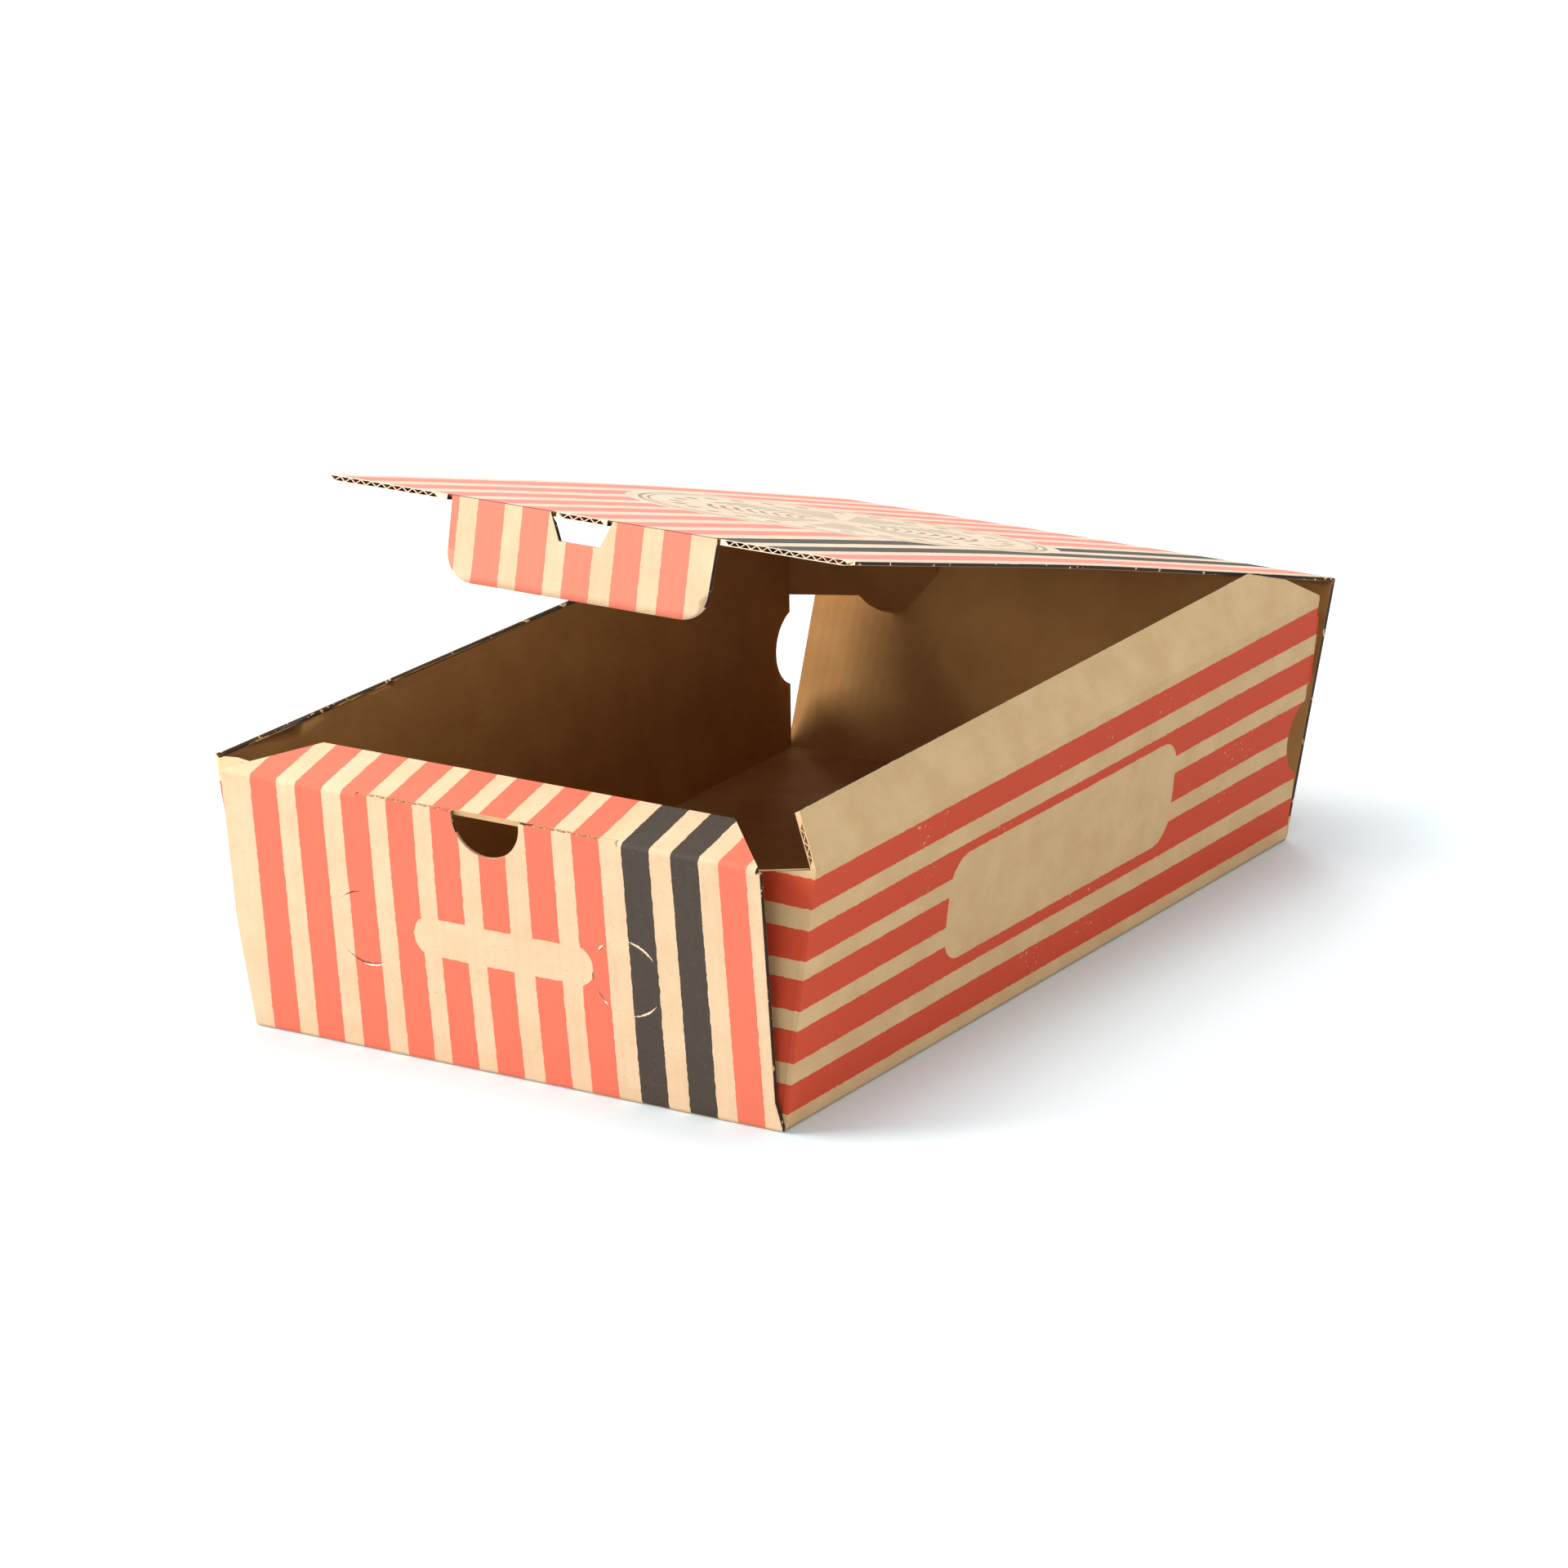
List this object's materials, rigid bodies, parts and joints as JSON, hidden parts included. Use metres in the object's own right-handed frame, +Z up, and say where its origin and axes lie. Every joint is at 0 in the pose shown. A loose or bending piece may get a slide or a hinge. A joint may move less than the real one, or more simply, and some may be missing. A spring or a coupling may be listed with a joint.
{
  "type": "pizza box",
  "caption": "Folded pizza box of thin fluted card, standing open: printed tray with a thumb notch and round vents, hinged lid with a tuck flap.",
  "frame": {"origin": "middle of the floor's underside, on the surface that the box stands on", "axes": "+X along the front wall to the right seen from the front, +Y from the front wall to the lid's hinge, +Z up"},
  "size_m": [0.1894, 0.3044, 0.1429],
  "materials": {
    "printed_board": "matte",
    "lid_board": "matte",
    "tuck_board": "matte"
  },
  "bodies": {
    "tray": {"tray": "printed_board"},
    "lid": {"lid": "lid_board"},
    "tuck_flap": {"tuck_flap": "tuck_board"}
  },
  "joints": [
    {"name": "lid_hinge", "type": "hinge", "parent": "tray", "child": "lid", "pos_m": [0, 0.1619, 0.06958], "axis": [-1, 0, 0], "range_deg": [-13.4, 95]},
    {"name": "tuck_fold", "type": "hinge", "parent": "lid", "child": "tuck_flap", "pos_m": [0, -0.09546, 0.1429], "axis": [-1, 0, 0], "range_deg": [-30, 92]}
  ]
}
